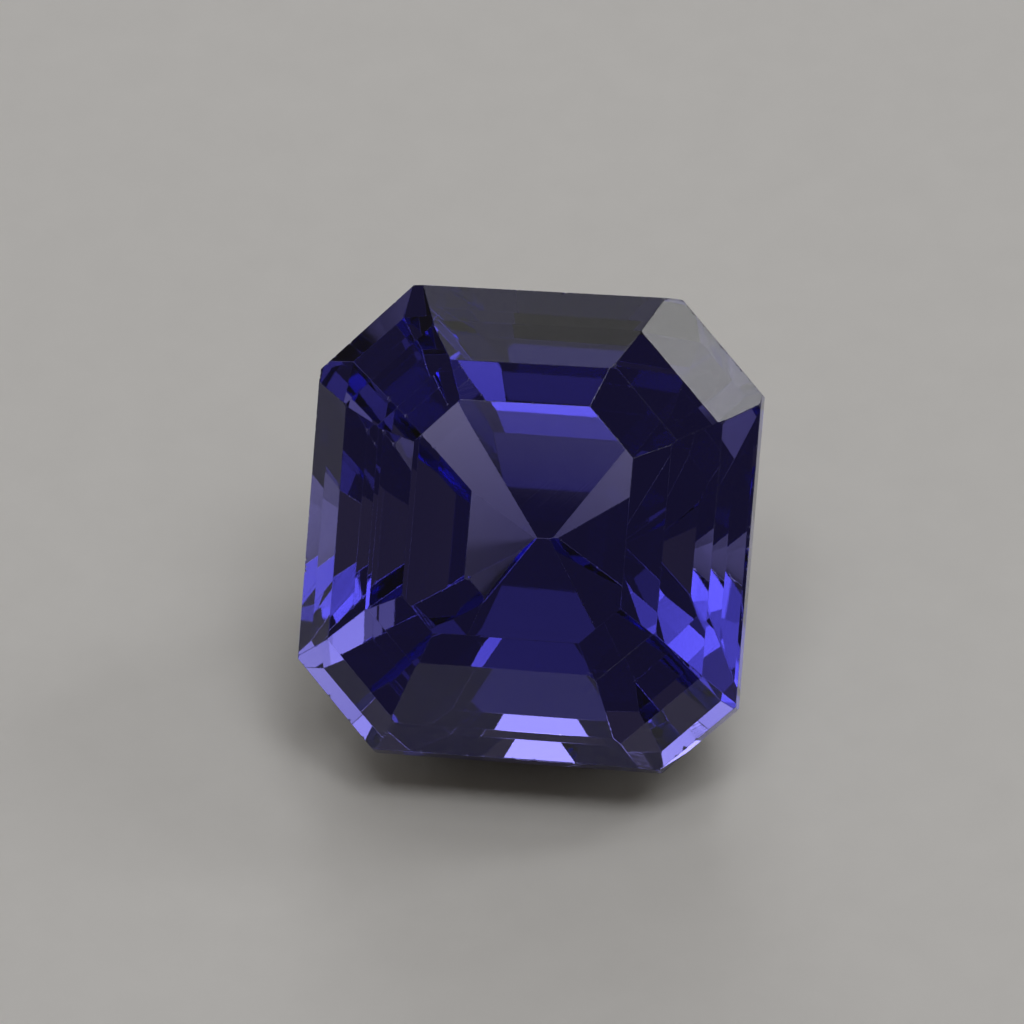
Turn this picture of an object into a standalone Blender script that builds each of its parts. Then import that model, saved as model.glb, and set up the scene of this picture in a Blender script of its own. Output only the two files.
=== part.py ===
"""A loose amethyst, cut as an eight-sided square step cut, lying on one facet of its underside.

The stone is one solid. It starts as a rough block, and each facet takes one flat slice off it.
Angles are measured from the plane of the girdle, the stone's widest part, and lengths are in
millimetres until the finished mesh is scaled to metres.
"""

import math
from typing import NamedTuple

import bmesh
import bpy
from mathutils import Matrix, Vector

MM = 0.001

# Heights and depths from the girdle's upper edge, where the crown begins.
TABLE_HEIGHT = 1.69
GIRDLE_THICKNESS = 0.60

# Depth below the girdle's lower edge at which each row of the underside gives way to the next.
PAVILION_STEPS = (0.30, 1.40, 2.58, 3.37)
CULET_DEPTH = 5.05
CULET_OFFSET = (-0.05, 0.16)

ROUGH_HALF = 9.0
SAME_POINT = 1e-5


class Crown(NamedTuple):
    """One side's three facets from the girdle up to the table.

    azimuth is the direction they face, anticlockwise from +X, and angles are their slopes.
    start is the height at which the lowest one leaves the girdle, and steps are the heights at
    which the second and third begin.
    """

    azimuth: float
    angles: tuple
    start: float
    steps: tuple


class Underside(NamedTuple):
    """One side's four stepped facets below the girdle, and the last one towards the culet.

    The last facet takes its slope from where the fourth row ends to the culet's point. miss is
    how far outside that point it passes, as the last facets of a hand-cut stone seldom all meet.
    """

    azimuth: float
    angles: tuple
    miss: float


class Side(NamedTuple):
    """One of the eight sides. reach is how far the girdle stands from the middle there."""

    name: str
    reach: float
    crown: Crown
    underside: Underside


# The sides differ a little from each other, as on a stone cut by hand.
SIDES = (
    Side(
        "right",
        4.42,
        Crown(0.0, (45.0, 37.5, 27.0), -0.03, (0.63, 1.33)),
        Underside(0.0, (66.5, 56.5, 52.0, 49.5), 0.05),
    ),
    Side(
        "top right",
        5.28,
        Crown(44.5, (39.0, 33.5, 25.5), -0.14, (0.70, 1.26)),
        Underside(45.0, (74.0, 55.5, 44.0, 41.5), -0.02),
    ),
    Side(
        "top",
        4.78,
        Crown(91.0, (40.0, 36.0, 24.5), 0.05, (0.69, 1.31)),
        Underside(90.0, (63.5, 50.5, 48.0, 46.5), -0.09),
    ),
    Side(
        "top left",
        5.26,
        Crown(136.5, (40.0, 32.5, 25.5), -0.07, (0.77, 1.31)),
        Underside(135.0, (72.5, 56.5, 42.5, 40.5), -0.02),
    ),
    Side(
        "left",
        4.46,
        Crown(180.5, (46.5, 35.5, 24.5), 0.09, (0.80, 1.34)),
        Underside(180.0, (65.0, 53.5, 51.0, 48.5), 0.05),
    ),
    Side(
        "bottom left",
        5.24,
        Crown(224.0, (45.5, 30.0, 24.5), 0.05, (0.78, 1.37)),
        Underside(225.0, (61.5, 51.5, 44.0, 42.5), 0.06),
    ),
    Side(
        "bottom",
        4.66,
        Crown(270.0, (48.5, 31.0, 24.5), 0.15, (0.72, 1.42)),
        Underside(270.0, (68.5, 54.0, 49.5, 42.0), -0.05),
    ),
    Side(
        "bottom right",
        5.42,
        Crown(314.0, (40.5, 32.0, 23.5), -0.07, (0.62, 1.36)),
        Underside(315.0, (63.0, 51.0, 43.5, 40.5), -0.02),
    ),
)

# It lies on this side's facet towards the culet, the one below the four stepped rows.
RESTING_SIDE = "bottom"
RESTING_ROW = 4


class Facet(NamedTuple):
    """A flat slice: everything beyond point, in the direction of normal, is cut away."""

    point: Vector
    normal: Vector


def outward(azimuth):
    """The level direction that an azimuth names."""
    turn = math.radians(azimuth)
    return Vector((math.cos(turn), math.sin(turn), 0.0))


def slope_normal(azimuth, angle, down=False):
    """The direction that a facet of this slope faces."""
    slope = math.radians(angle)
    rise = -math.cos(slope) if down else math.cos(slope)
    return outward(azimuth) * math.sin(slope) + Vector((0.0, 0.0, rise))


def at(azimuth, reach, height):
    """A point on a side's middle line."""
    return outward(azimuth) * reach + Vector((0.0, 0.0, height))


def crown_facets(side):
    """Three facets, each flatter than the one below it."""
    crown = side.crown
    facets = []
    reach, height = side.reach, crown.start
    for angle, top in zip(crown.angles, (*crown.steps, TABLE_HEIGHT)):
        facets.append(Facet(at(crown.azimuth, reach, height), slope_normal(crown.azimuth, angle)))
        reach -= (top - height) / math.tan(math.radians(angle))
        height = top
    return facets


def girdle_facet(side):
    azimuth = side.crown.azimuth
    return Facet(at(azimuth, side.reach, 0.0), outward(azimuth))


def underside_facets(side):
    """The stepped rows of the underside, then the facet towards the culet."""
    azimuth, angles, miss = side.underside
    facets = []
    reach, depth = side.reach, 0.0
    for angle, bottom in zip(angles, PAVILION_STEPS):
        start = at(azimuth, reach, -GIRDLE_THICKNESS - depth)
        facets.append(Facet(start, slope_normal(azimuth, angle, down=True)))
        reach -= (bottom - depth) / math.tan(math.radians(angle))
        depth = bottom
    culet = Vector((*CULET_OFFSET, -GIRDLE_THICKNESS - CULET_DEPTH))
    run = reach - outward(azimuth).dot(culet)
    last_angle = math.degrees(math.atan2(CULET_DEPTH - depth, run))
    normal = slope_normal(azimuth, last_angle, down=True)
    facets.append(Facet(culet + normal * miss, normal))
    return facets


def all_facets():
    """The table, then each side's crown, girdle and underside."""
    facets = [Facet(Vector((0.0, 0.0, TABLE_HEIGHT)), Vector((0.0, 0.0, 1.0)))]
    for side in SIDES:
        facets += crown_facets(side)
        facets.append(girdle_facet(side))
        facets += underside_facets(side)
    return facets


def slice_off(bm, facet):
    """Cut the block along the facet's plane, drop what is outside it and close the cut flat."""
    bmesh.ops.bisect_plane(
        bm,
        geom=bm.verts[:] + bm.edges[:] + bm.faces[:],
        dist=SAME_POINT,
        plane_co=facet.point,
        plane_no=facet.normal,
        clear_outer=True,
    )
    rim = [edge for edge in bm.edges if edge.is_boundary]
    if rim:
        bmesh.ops.holes_fill(bm, edges=rim)


def cut_stone():
    """The faceted stone in its own frame, with the table facing +Z, in millimetres."""
    bm = bmesh.new()
    bmesh.ops.create_cube(bm, size=2.0 * ROUGH_HALF)
    for facet in all_facets():
        slice_off(bm, facet)
    bmesh.ops.recalc_face_normals(bm, faces=bm.faces[:])
    mesh = bpy.data.meshes.new("stone")
    bm.to_mesh(mesh)
    bm.free()
    return mesh


def resting_pose(mesh):
    """Turn the stone until its resting facet lies level on the ground, below the middle of its box."""
    side = next(side for side in SIDES if side.name == RESTING_SIDE)
    resting = underside_facets(side)[RESTING_ROW]
    turn = resting.normal.rotation_difference(Vector((0.0, 0.0, -1.0))).to_matrix().to_4x4()
    turned = [turn @ vertex.co * MM for vertex in mesh.vertices]
    low = [min(point[axis] for point in turned) for axis in range(3)]
    high = [max(point[axis] for point in turned) for axis in range(3)]
    place = Vector((-(low[0] + high[0]) / 2, -(low[1] + high[1]) / 2, -low[2]))
    return turn, place


def amethyst_material():
    """Clear violet-blue quartz, polished."""
    material = bpy.data.materials.new("polished amethyst")
    material.use_nodes = True
    shader = material.node_tree.nodes["Principled BSDF"]
    shader.inputs["Base Color"].default_value = (0.10, 0.07, 0.55, 1.0)
    shader.inputs["Metallic"].default_value = 0.0
    shader.inputs["Roughness"].default_value = 0.02
    shader.inputs["IOR"].default_value = 1.55
    shader.inputs["Transmission Weight"].default_value = 1.0
    return material


def main():
    for old in list(bpy.data.objects):
        bpy.data.objects.remove(old, do_unlink=True)
    mesh = cut_stone()
    turn, place = resting_pose(mesh)
    mesh.transform(Matrix.Scale(MM, 4))
    mesh.materials.append(amethyst_material())
    stone = bpy.data.objects.new("stone", mesh)
    stone.rotation_euler = turn.to_euler()
    stone.location = place
    bpy.context.scene.collection.objects.link(stone)


main()
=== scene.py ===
"""A loose violet-blue amethyst in a square step cut, on a pale studio floor."""

import math
from typing import NamedTuple

import bpy
import numpy as np
from mathutils import Matrix, Vector


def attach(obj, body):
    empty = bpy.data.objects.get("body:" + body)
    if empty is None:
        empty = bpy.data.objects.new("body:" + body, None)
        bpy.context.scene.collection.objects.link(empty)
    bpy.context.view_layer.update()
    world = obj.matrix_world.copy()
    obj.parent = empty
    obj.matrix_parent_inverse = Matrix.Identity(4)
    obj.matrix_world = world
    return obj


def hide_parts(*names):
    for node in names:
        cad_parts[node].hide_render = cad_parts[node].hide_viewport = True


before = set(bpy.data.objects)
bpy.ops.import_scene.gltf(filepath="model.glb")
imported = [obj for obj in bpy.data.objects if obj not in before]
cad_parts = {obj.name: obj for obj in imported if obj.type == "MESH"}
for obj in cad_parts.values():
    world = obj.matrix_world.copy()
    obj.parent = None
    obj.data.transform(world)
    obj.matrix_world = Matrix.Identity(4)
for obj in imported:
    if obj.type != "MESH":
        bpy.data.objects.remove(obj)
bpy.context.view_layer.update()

MM = 0.001
rng = np.random.default_rng(7)

# Two corners nearer than this are one, and so are two planes.
SAME_PLACE = 0.0004 * MM

# Wear along the facets' junctions: its width, and the extra width at the corners that took a
# knock, which dies away along the edge over a share of that width.
JUNCTION_WIDTH = 0.007 * MM
KNOCK_WIDTH = 0.04 * MM
KNOCKED_SHARE = 0.35
LEAST_KNOCK = 0.3
KNOCK_FALL = 0.6 * KNOCK_WIDTH
# Each edge of a facet keeps at least this share of its length, and wear is eased in these steps.
LEAST_LEFT = 0.3
EASING = 0.7

# Nicks: their depth on crown and underside, on the girdle, and as a share of a short edge. They
# fade out towards an edge's ends.
CROWN_NICK = 0.018 * MM
GIRDLE_NICK = 0.08 * MM
SHORT_EDGE_NICK = 0.15
NICK_SPACING = 0.04 * MM
NICKED_SHARE = 0.15
NICK_FADE = 8.0
# An edge is the girdle's where one of its facets stands this steeply to the table.
GIRDLE_STEEPNESS = 0.15
# The table has the most corners of the facets that face up by this much.
FACES_UP = 0.3

# How far the strip's middle line and a corner's middle stand out towards the sharp stone.
STRIP_STAND = 0.42
NICK_FLATTENING = 0.8
CORNER_STAND = 0.2
# Where a strip has extra points near its ends, in knock widths, up to a share of the edge.
END_STEPS = np.array([0.25, 0.5, 1.0, 1.7, 2.6]) * KNOCK_WIDTH
END_SHARE = 0.3

# Clear quartz, and the violet-blue that light takes on along its way inside.
QUARTZ_IOR = 1.55
BODY_COLOUR = "#533BDC"
BODY_DENSITY = 230.0

# Lines left by the polishing lap, in millimetres. Some facets show them more than others.
POLISH_LINE_SPACING = 0.035
POLISH_LINE_RELIEF = 0.00012
FINEST_POLISH = 0.15
FACET_OFFSET = 3.7
# Tiny pits: the size of the cells they are dealt to, in millimetres, and their radius in cells.
PIT_SPACING = 0.32
PIT_RADIUS = 0.03
PITTED_SHARE = 0.3
WORN_ROUGHNESS = 0.22

FLOOR_RADIUS = 0.45
FLOOR_RINGS = 12
FLOOR_SIDES = 72
# Air between the resting facet and the paper, so that the facet still reflects inside the stone.
FLOOR_GAP = 0.006 * MM
# Clumps of fibres in the paper.
MOTTLE_SPACING = MM / 0.9

LIGHT_DISTANCE = 1.0
ROOM_COLOUR = "#C6BBB0"
ROOM_RADIANCE = 0.14
# Light crosses the stone many times before it leaves.
PATH_LENGTH = 14

# The camera looks at the stone as the photograph does.
CAMERA_AZIMUTH = 9.5
CAMERA_ELEVATION = 43.9
CAMERA_ROLL = -2.5
CAMERA_DISTANCE = 0.50
FRAME_WIDTH = 20.48 * MM
SENSOR = 36.0

# The middle of the girdle's upper edge, and how far the frame's middle lies left of it and above.
STONE_MIDDLE = Vector((0.03, -0.23, 4.19)) * MM
FRAME_LEFT = 0.36 * MM
FRAME_ABOVE = 0.33 * MM


def linear(hex_colour):
    """An sRGB hex colour as linear red, green, blue and full alpha."""
    values = [int(hex_colour[i : i + 2], 16) / 255 for i in (1, 3, 5)]
    return [v / 12.92 if v <= 0.04045 else ((v + 0.055) / 1.055) ** 2.4 for v in values] + [1.0]


def add_node(tree, kind, settings=None, values=None, links=None):
    """Add a node, set its properties and socket values, and link outputs into its inputs."""
    node = tree.nodes.new(kind)
    for name, value in (settings or {}).items():
        setattr(node, name, value)
    for name, value in (values or {}).items():
        node.inputs[name].default_value = value
    for name, output in (links or {}).items():
        tree.links.new(output, node.inputs[name])
    return node


def math_node(tree, operation, first, second):
    """The output of a maths node. Each operand is an output or a number."""
    node = add_node(tree, "ShaderNodeMath", {"operation": operation})
    for socket, operand in zip(node.inputs, (first, second)):
        if isinstance(operand, (int, float)):
            socket.default_value = operand
        else:
            tree.links.new(operand, socket)
    return node.outputs["Value"]


def new_material(name):
    material = bpy.data.materials.new(name)
    material.use_nodes = True
    material.node_tree.nodes.clear()
    return material, material.node_tree


class Facet(NamedTuple):
    """A flat facet: the direction it faces, and its corners' numbers, anticlockwise from outside."""

    normal: np.ndarray
    corners: list


def flat_facets(mesh):
    """The stone's corner points and its facets, from a mesh of triangles.

    Corners that share a place are made one. Triangles that lie in one plane belong to one facet,
    and the edges that only one of them has are its outline.
    """
    points = np.empty(len(mesh.vertices) * 3)
    mesh.vertices.foreach_get("co", points)
    points = points.reshape(-1, 3)
    mesh.calc_loop_triangles()
    triangles = np.empty(len(mesh.loop_triangles) * 3, int)
    mesh.loop_triangles.foreach_get("vertices", triangles)
    keys = np.round(points / SAME_PLACE).astype(int)
    _, first, same = np.unique(keys, axis=0, return_index=True, return_inverse=True)
    points = points[first]
    triangles = same.reshape(-1)[triangles].reshape(-1, 3)
    distinct = (triangles != np.roll(triangles, 1, axis=1)).all(axis=1)
    triangles = triangles[distinct]
    a, b, c = (points[triangles[:, k]] for k in range(3))
    normals = np.cross(b - a, c - a)
    areas = np.linalg.norm(normals, axis=1)
    normals = normals / areas[:, None]
    free = np.ones(len(triangles), bool)
    facets = []
    for seed in np.argsort(-areas):
        if not free[seed]:
            continue
        depth = points @ normals[seed]
        level = depth[triangles[seed]].mean()
        inside = free & (np.abs(depth[triangles] - level).max(axis=1) < SAME_PLACE)
        free &= ~inside
        facets.append(Facet(normals[seed], outline(triangles[inside])))
    return points, facets


def outline(triangles):
    """The corner numbers round a flat patch of triangles, anticlockwise from outside."""
    edges = np.concatenate([triangles[:, [0, 1]], triangles[:, [1, 2]], triangles[:, [2, 0]]])
    there = {tuple(edge) for edge in edges.tolist()}
    onward = dict(edge for edge in there if (edge[1], edge[0]) not in there)
    loop = [next(iter(onward))]
    while onward[loop[-1]] != loop[0]:
        loop.append(onward[loop[-1]])
    return loop


def edges_round(corners):
    """The edges of an outline, each as the pair of corners that it joins."""
    return list(zip(corners, corners[1:] + corners[:1]))


def inset_outline(points, facet, widths):
    """A facet's corners moved inwards in its plane, each by its own distance from both its edges."""
    corners = points[facet.corners]
    along = np.roll(corners, -1, axis=0) - corners
    along /= np.linalg.norm(along, axis=1)[:, None]
    inward = np.cross(facet.normal, along)
    before = np.roll(inward, 1, axis=0)
    shift = (before + inward) / (1.0 + (before * inward).sum(axis=1))[:, None]
    return corners + widths[facet.corners][:, None] * shift


def corner_widths(points, facets):
    """How far each corner is worn: the junction's width, or more on the few that took a knock.

    A corner beside a short edge or in a narrow facet is eased until every edge keeps its way round.
    """
    knocked = rng.random(len(points)) < KNOCKED_SHARE
    widths = JUNCTION_WIDTH + knocked * rng.uniform(LEAST_KNOCK, 1.0, len(points)) * KNOCK_WIDTH
    while True:
        tight = set()
        for facet in facets:
            corners = points[facet.corners]
            edge = np.roll(corners, -1, axis=0) - corners
            moved = inset_outline(points, facet, widths)
            left = ((np.roll(moved, -1, axis=0) - moved) * edge).sum(axis=1)
            short = left < LEAST_LEFT * (edge**2).sum(axis=1)
            tight.update(np.array(facet.corners)[short | np.roll(short, 1)].tolist())
        if not tight:
            return widths
        widths[list(tight)] *= EASING


def edge_shares(length):
    """Places along an edge from 0 to 1: evenly spaced, and closer together near both ends."""
    even = np.linspace(0.0, 1.0, max(4, int(length / NICK_SPACING)))
    near = END_STEPS / length
    near = near[near < END_SHARE]
    return np.unique(np.round(np.concatenate([even, near, 1.0 - near]), 6))


def edge_nicks(share, length, on_girdle):
    """How deep the nicks are at each place along an edge. Most places have none."""
    struck = rng.random(len(share)) < NICKED_SHARE
    nick = np.where(struck, rng.random(len(share)) ** 2, 0.0)
    nick *= min(GIRDLE_NICK if on_girdle else CROWN_NICK, SHORT_EDGE_NICK * length)
    nick *= np.minimum(1.0, NICK_FADE * share * (1.0 - share))
    return nick


def edge_widths(share, length, ends, nick):
    """How wide the wear is at each place along an edge.

    It is the least width and the nick, with what each end has over the least width, which falls
    off from there as an exponential.
    """
    least = min(*ends, JUNCTION_WIDTH)
    width = least + nick
    width = width + (ends[0] - least) * np.exp(-share * length / KNOCK_FALL)
    return width + (ends[1] - least) * np.exp(-(1.0 - share) * length / KNOCK_FALL)


class WornStone:
    """The faceted stone, with a fine worn strip along each junction between its flat facets.

    A facet keeps its plane, and its outline lies inside the sharp one by the width of the wear.
    Between two facets runs a strip of two rows of faces that share a middle line, which stands
    out part of the way to the sharp edge. A fan of triangles closes each corner.
    """

    WORN = -1

    def __init__(self, points, facets):
        self.points, self.facets = points, facets
        self.widths = corner_widths(points, facets)
        upper = [facet for facet in facets if facet.normal[2] > FACES_UP]
        self.table = max(upper, key=lambda facet: len(facet.corners))
        self.blocks, self.count = [], 0
        self.faces, self.facet_of_face = [], []
        # By facet and corner: the number and place of the facet's own corner.
        self.inset = {}
        # By edge, as a pair of corners: the facet on its left, that facet's line of points along
        # it, and the first point of its middle line.
        self.facet_beside, self.line_beside, self.middle_start = {}, {}, {}

    def put(self, block):
        """Add points, and give their numbers."""
        self.blocks.append(block)
        self.count += len(block)
        return np.arange(self.count - len(block), self.count)

    def add(self, face, facet=WORN):
        """Add a face, which is a facet's or part of the wear."""
        self.faces.append(face)
        self.facet_of_face.append(facet)

    def inset_facets(self):
        """Place each facet's own corners."""
        for index, facet in enumerate(self.facets):
            places = inset_outline(self.points, facet, self.widths)
            for edge, number, place in zip(edges_round(facet.corners), self.put(places), places):
                self.facet_beside[edge] = index
                self.inset[(index, edge[0])] = (int(number), place)

    def on_girdle(self, *facets):
        """Whether one of these facets stands upright to the table."""
        return any(abs(self.facets[facet].normal @ self.table.normal) < GIRDLE_STEEPNESS for facet in facets)

    def wear_edge(self, corner, following):
        """Lay the strip along one edge: a line in each facet's plane and one between them."""
        facets = self.facet_beside[(corner, following)], self.facet_beside[(following, corner)]
        start, along = self.points[corner], self.points[following] - self.points[corner]
        length = np.linalg.norm(along)
        along = along / length
        share = edge_shares(length)
        nick = edge_nicks(share, length, self.on_girdle(*facets))
        width = edge_widths(share, length, (self.widths[corner], self.widths[following]), nick)
        lines, numbers = [], []
        for facet, turn in zip(facets, (1.0, -1.0)):
            inward = np.cross(self.facets[facet].normal, along) * turn
            first, first_place = self.inset[(facet, corner)]
            last, last_place = self.inset[(facet, following)]
            begin, finish = (first_place - start) @ along, (last_place - start) @ along
            reach = begin + (finish - begin) * share
            line = start + reach[:, None] * along + width[:, None] * inward
            line[0], line[-1] = first_place, last_place
            lines.append(line)
            numbers.append(np.concatenate([[first], self.put(line[1:-1]), [last]]))
        average = 0.5 * (lines[0] + lines[1])
        sharp = start + ((average - start) @ along)[:, None] * along
        stand = STRIP_STAND * (1.0 - NICK_FLATTENING * (nick > 0) * rng.random(len(share)))
        middle = self.put(average + stand[:, None] * (sharp - average))
        self.line_beside[(corner, following)] = numbers[0]
        self.line_beside[(following, corner)] = numbers[1][::-1]
        self.middle_start[(corner, following)] = int(middle[0])
        self.middle_start[(following, corner)] = int(middle[-1])
        here = np.stack([numbers[0][1:], numbers[0][:-1], middle[:-1], middle[1:]], axis=1)
        there = np.stack([numbers[1][:-1], numbers[1][1:], middle[1:], middle[:-1]], axis=1)
        for face in np.concatenate([here, there]).tolist():
            self.add(face)

    def lay_facets(self):
        """One flat face for each facet, up to the lines of its strips."""
        for index, facet in enumerate(self.facets):
            ring = [self.line_beside[edge][:-1] for edge in edges_round(facet.corners)]
            self.add(np.concatenate(ring).tolist(), index)

    def close_corners(self):
        """A fan of triangles at each corner, round its strips' ends and its facets' own corners."""
        turn_about = {}
        for index, facet in enumerate(self.facets):
            corners = facet.corners
            for before, corner, onward in zip(corners[-1:] + corners, corners, corners[1:] + corners):
                turn_about[(corner, before)] = (index, onward)
        places = np.concatenate(self.blocks)
        for corner, first in dict(turn_about.keys()).items():
            ring, spoke = [], first
            while not ring or spoke != first:
                index, onward = turn_about[(corner, spoke)]
                ring += [self.middle_start[(corner, spoke)], self.inset[(index, corner)][0]]
                spoke = onward
            centre = places[ring].mean(axis=0)
            centre = centre + CORNER_STAND * (self.points[corner] - centre)
            hub = int(self.put(centre[None])[0])
            for one, next_one in edges_round(ring):
                self.add([hub, next_one, one])

    def to_mesh(self):
        """The finished mesh, with what its material reads at each face corner."""
        mesh = bpy.data.meshes.new("faceted stone")
        mesh.from_pydata(np.concatenate(self.blocks).tolist(), [], self.faces)
        mesh.update()
        facet_of_corner = np.repeat(self.facet_of_face, [len(face) for face in self.faces])
        normals = np.array([facet.normal for facet in self.facets])
        keep(mesh, "across_polish", polish_coordinate(mesh, facet_of_corner, normals))
        relief = FINEST_POLISH + (1.0 - FINEST_POLISH) * rng.random(len(self.facets) + 1) ** 3
        # The last one is the wear's, which has no polishing lines.
        relief[self.WORN] = 0.0
        keep(mesh, "polish_relief", relief[facet_of_corner])
        keep(mesh, "worn", (facet_of_corner == self.WORN).astype(float))
        return mesh


def keep(mesh, name, values):
    """Keep a number for each face corner as an attribute."""
    mesh.attributes.new(name, "FLOAT", "CORNER").data.foreach_set("value", values)


def polish_coordinate(mesh, facet_of_corner, normals):
    """Distance across each facet's own polishing direction, in millimetres, at every face corner.

    It is the place's dot product with a direction in the facet's plane, drawn by lot, with an
    offset for each facet, so that no two facets show the same lines. On the wear it is nought.
    """
    vertex = np.empty(len(mesh.loops), int)
    mesh.loops.foreach_get("vertex_index", vertex)
    places = np.empty(len(mesh.vertices) * 3)
    mesh.vertices.foreach_get("co", places)
    places = places.reshape(-1, 3)[vertex]
    upward = np.where(np.abs(normals[:, 2:]) < 0.9, [[0.0, 0.0, 1.0]], [[1.0, 0.0, 0.0]])
    level = np.cross(normals, upward)
    level /= np.linalg.norm(level, axis=1)[:, None]
    turn = rng.random((len(normals), 1)) * math.pi
    aim = level * np.cos(turn) + np.cross(normals, level) * np.sin(turn)
    apart = FACET_OFFSET * np.arange(len(normals))
    across = (places * aim[facet_of_corner]).sum(axis=1) / MM + apart[facet_of_corner]
    return np.where(facet_of_corner == WornStone.WORN, 0.0, across)


def stone_mesh(node):
    """The stone's mesh, made from the solid's facets."""
    stone = WornStone(*flat_facets(node.data))
    stone.inset_facets()
    for corner, following in stone.facet_beside:
        if corner < following:
            stone.wear_edge(corner, following)
    stone.lay_facets()
    stone.close_corners()
    return stone.to_mesh()


def amethyst_material():
    """Amethyst: clear quartz coloured all through, cut on a lap and polished.

    The eye gets sharp facets and a deep violet-blue that grows with the length of the light's
    way inside, so short ways look pale lilac and long ones nearly black.
    """
    material, tree = new_material("polished amethyst")
    output = add_node(tree, "ShaderNodeOutputMaterial")
    across = add_node(tree, "ShaderNodeAttribute", {"attribute_name": "across_polish"})
    lines = add_node(
        tree,
        "ShaderNodeTexNoise",
        {"noise_dimensions": "1D"},
        {"Scale": 1.0 / POLISH_LINE_SPACING, "Detail": 2.0, "Roughness": 0.6},
        {"W": across.outputs["Fac"]},
    )
    relief = add_node(tree, "ShaderNodeAttribute", {"attribute_name": "polish_relief"})
    height = math_node(tree, "MULTIPLY", lines.outputs["Fac"], relief.outputs["Fac"])
    bump = add_node(
        tree,
        "ShaderNodeBump",
        None,
        {"Strength": 1.0, "Distance": POLISH_LINE_RELIEF * MM},
        {"Height": height},
    )
    place = add_node(tree, "ShaderNodeTexCoord")
    cells = add_node(
        tree,
        "ShaderNodeTexVoronoi",
        None,
        {"Scale": 1.0 / (PIT_SPACING * MM)},
        {"Vector": place.outputs["Object"]},
    )
    lot = add_node(tree, "ShaderNodeSeparateColor", None, None, {"Color": cells.outputs["Color"]})
    pitted = math_node(tree, "LESS_THAN", lot.outputs["Red"], PITTED_SHARE)
    near = math_node(tree, "LESS_THAN", cells.outputs["Distance"], PIT_RADIUS)
    pit = math_node(tree, "MULTIPLY", pitted, near)
    worn = add_node(tree, "ShaderNodeAttribute", {"attribute_name": "worn"})
    matt = math_node(tree, "MAXIMUM", pit, worn.outputs["Fac"])
    frosting = math_node(tree, "MULTIPLY", matt, WORN_ROUGHNESS)
    shader = add_node(
        tree,
        "ShaderNodeBsdfPrincipled",
        None,
        {"Base Color": (1.0, 1.0, 1.0, 1.0), "IOR": QUARTZ_IOR, "Transmission Weight": 1.0},
        {"Roughness": frosting, "Normal": bump.outputs["Normal"]},
    )
    absorption = add_node(
        tree,
        "ShaderNodeVolumeAbsorption",
        None,
        {"Color": linear(BODY_COLOUR), "Density": BODY_DENSITY},
    )
    tree.links.new(shader.outputs["BSDF"], output.inputs["Surface"])
    tree.links.new(absorption.outputs["Volume"], output.inputs["Volume"])
    return material


def floor_material():
    """Studio paper: matt pressed fibre, pale and slightly warm, with a faint mottle."""
    material, tree = new_material("matt studio paper")
    output = add_node(tree, "ShaderNodeOutputMaterial")
    place = add_node(tree, "ShaderNodeTexCoord")
    mottle = add_node(
        tree,
        "ShaderNodeTexNoise",
        None,
        {"Scale": 1.0 / MOTTLE_SPACING, "Detail": 3.0},
        {"Vector": place.outputs["Object"]},
    )
    ramp = add_node(tree, "ShaderNodeValToRGB", None, None, {"Fac": mottle.outputs["Fac"]})
    ramp.color_ramp.elements[0].color = linear("#EEEDEB")
    ramp.color_ramp.elements[1].color = linear("#F4F3F1")
    shader = add_node(
        tree,
        "ShaderNodeBsdfPrincipled",
        None,
        {"Roughness": 0.9, "Specular IOR Level": 0.2},
        {"Base Color": ramp.outputs["Color"]},
    )
    tree.links.new(shader.outputs["BSDF"], output.inputs["Surface"])
    return material


def make_floor():
    """A level disc: each point is a radius times the sine and cosine of a turn.

    The radii grow as the squares of even steps.
    """
    radius = FLOOR_RADIUS * np.linspace(0.0, 1.0, FLOOR_RINGS + 1)[1:, None] ** 2
    turn = np.linspace(0.0, 2.0 * math.pi, FLOOR_SIDES, endpoint=False)[None, :]
    level = np.full((FLOOR_RINGS, FLOOR_SIDES), -FLOOR_GAP)
    rings = np.stack([radius * np.sin(turn), radius * np.cos(turn), level], axis=-1)
    points = np.concatenate([[[0.0, 0.0, -FLOOR_GAP]], rings.reshape(-1, 3)])
    here = 1 + np.arange(FLOOR_SIDES)
    onward = np.roll(here, -1)
    fan = np.stack([np.zeros_like(here), onward, here], axis=1)
    inner = FLOOR_SIDES * np.arange(FLOOR_RINGS - 1)[:, None]
    outer = inner + FLOOR_SIDES
    quads = np.stack([here + inner, onward + inner, onward + outer, here + outer], axis=-1)
    mesh = bpy.data.meshes.new("studio table")
    mesh.from_pydata(points.tolist(), [], fan.tolist() + quads.reshape(-1, 4).tolist())
    mesh.materials.append(floor_material())
    floor = bpy.data.objects.new("studio_table", mesh)
    bpy.context.scene.collection.objects.link(floor)


def direction(azimuth, elevation):
    """A unit vector from an azimuth, anticlockwise from +X, and a height above the level."""
    turn, rise = math.radians(azimuth), math.radians(elevation)
    return Vector((math.cos(turn) * math.cos(rise), math.sin(turn) * math.cos(rise), math.sin(rise)))


class Softbox(NamedTuple):
    """A round softbox aimed at the stone.

    azimuth is anticlockwise from +X, elevation above the level and spread is the angular radius
    that the stone sees. radiance is the brightness of its face.
    """

    azimuth: float
    elevation: float
    spread: float
    radiance: float


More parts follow.
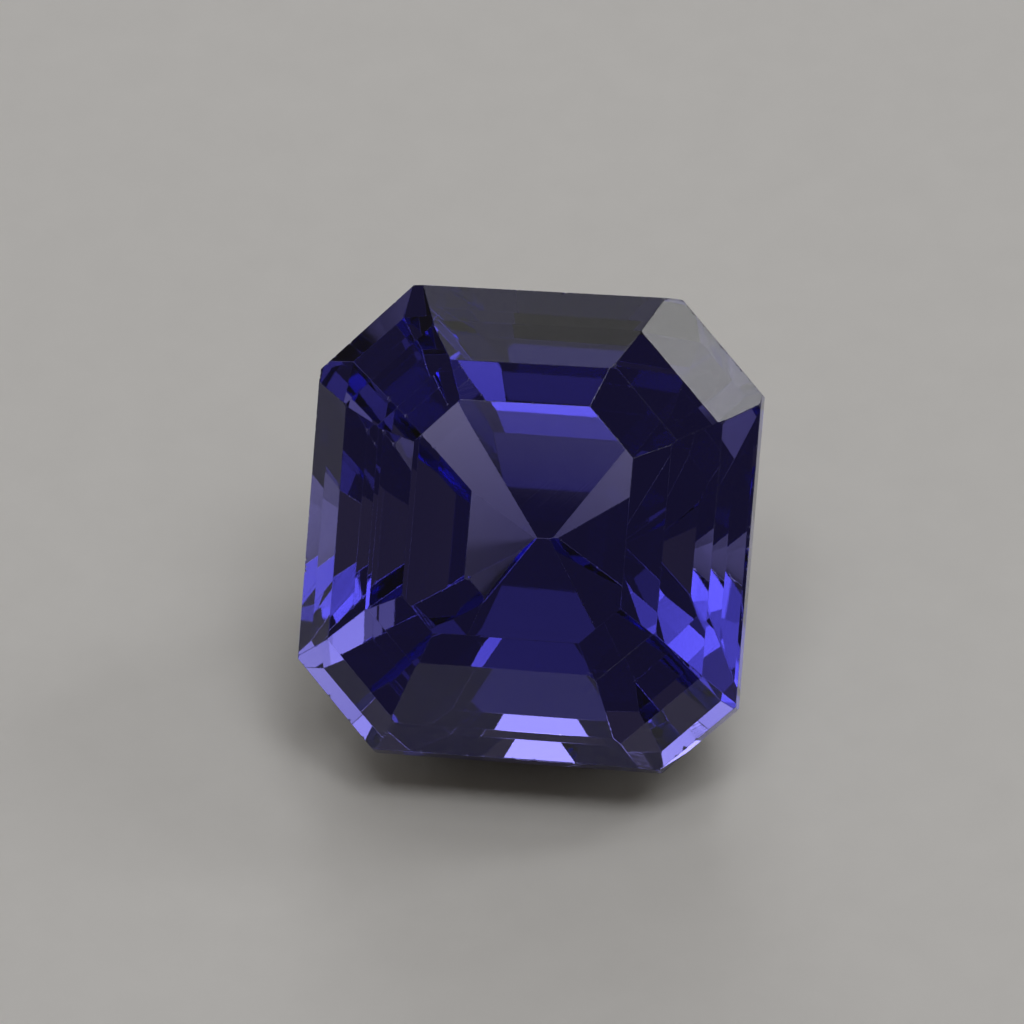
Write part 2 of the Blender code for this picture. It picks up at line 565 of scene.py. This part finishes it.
# Placed and levelled so that the facets light up much as they do in the photograph.
SOFTBOXES = (
    Softbox(-129, 75, 7, 1.69),
    Softbox(-126, 78, 11, 0.78),
    Softbox(-114, 74, 4, 0.65),
    Softbox(-36, 74, 11, 1.17),
    Softbox(-17, 63, 11, 1.49),
    Softbox(34, 78, 11, 1.56),
    Softbox(77, 62, 7, 3.25),
    Softbox(-104, 46, 7, 0.18),
    Softbox(37, 37, 7, 3.96),
    Softbox(105, 46, 7, 0.65),
    Softbox(-58, 7, 4, 0.91),
    Softbox(-43, 25, 4, 0.98),
    Softbox(11, 16, 11, 0.39),
    Softbox(23, 11, 11, 1.04),
    Softbox(57, 15, 4, 1.49),
    Softbox(96, 30, 11, 1.95),
    Softbox(101, 18, 11, 2.21),
    Softbox(109, 9, 7, 1.43),
    Softbox(110, 11, 4, 1.49),
    Softbox(113, 23, 4, 1.69),
    Softbox(125, 6, 7, 2.86),
    Softbox(157, 5, 7, 1.49),
)


def add_softbox(number, softbox):
    """A flat lamp's power is pi times its radiance times its area."""
    radius = LIGHT_DISTANCE * math.tan(math.radians(softbox.spread))
    area = math.pi * radius**2
    data = bpy.data.lights.new(f"softbox {number}", "AREA")
    data.shape = "DISK"
    data.size = 2.0 * radius
    data.energy = math.pi * softbox.radiance * area
    light = bpy.data.objects.new(data.name, data)
    towards = direction(softbox.azimuth, softbox.elevation)
    light.location = STONE_MIDDLE + towards * LIGHT_DISTANCE
    light.rotation_euler = towards.to_track_quat("Z", "Y").to_euler()
    bpy.context.scene.collection.objects.link(light)


def camera_axes():
    """The camera's right, up and backward directions in the world."""
    azimuth, roll = math.radians(CAMERA_AZIMUTH), math.radians(CAMERA_ROLL)
    back = direction(CAMERA_AZIMUTH - 90.0, CAMERA_ELEVATION)
    level = Vector((math.cos(azimuth), math.sin(azimuth), 0.0))
    up = back.cross(level)
    right = level * math.cos(roll) + up * math.sin(roll)
    return right, back.cross(right), back


def make_camera():
    right, up, back = camera_axes()
    target = STONE_MIDDLE - right * FRAME_LEFT + up * FRAME_ABOVE
    data = bpy.data.cameras.new("camera")
    data.sensor_width = SENSOR
    data.lens = SENSOR * CAMERA_DISTANCE / FRAME_WIDTH
    data.clip_start = 0.01
    data.clip_end = 10.0
    camera = bpy.data.objects.new("camera", data)
    turn = Matrix((right, up, back)).transposed().to_4x4()
    camera.matrix_world = Matrix.Translation(target + back * CAMERA_DISTANCE) @ turn
    bpy.context.scene.collection.objects.link(camera)
    bpy.context.scene.camera = camera


def make_world():
    """A dim, slightly warm studio round the softboxes."""
    world = bpy.data.worlds.new("studio")
    world.use_nodes = True
    background = world.node_tree.nodes["Background"]
    background.inputs["Color"].default_value = linear(ROOM_COLOUR)
    background.inputs["Strength"].default_value = ROOM_RADIANCE
    bpy.context.scene.world = world


def main():
    bpy.context.scene.view_settings.view_transform = "Standard"
    mesh = stone_mesh(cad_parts["stone"])
    mesh.materials.append(amethyst_material())
    stone = bpy.data.objects.new("amethyst", mesh)
    bpy.context.scene.collection.objects.link(stone)
    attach(stone, "root")
    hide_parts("stone")
    make_floor()
    make_camera()
    for number, softbox in enumerate(SOFTBOXES, 1):
        add_softbox(number, softbox)
    make_world()
    cycles = bpy.context.scene.cycles
    cycles.max_bounces = cycles.glossy_bounces = cycles.transmission_bounces = PATH_LENGTH
    # Dithered sampling leaves a dot pattern on the mirror-bright facets.
    cycles.sampling_pattern = "TABULATED_SOBOL"
    # The glints that the stone would throw on the floor are left out, as they stay grainy.
    cycles.caustics_reflective = cycles.caustics_refractive = False


main()
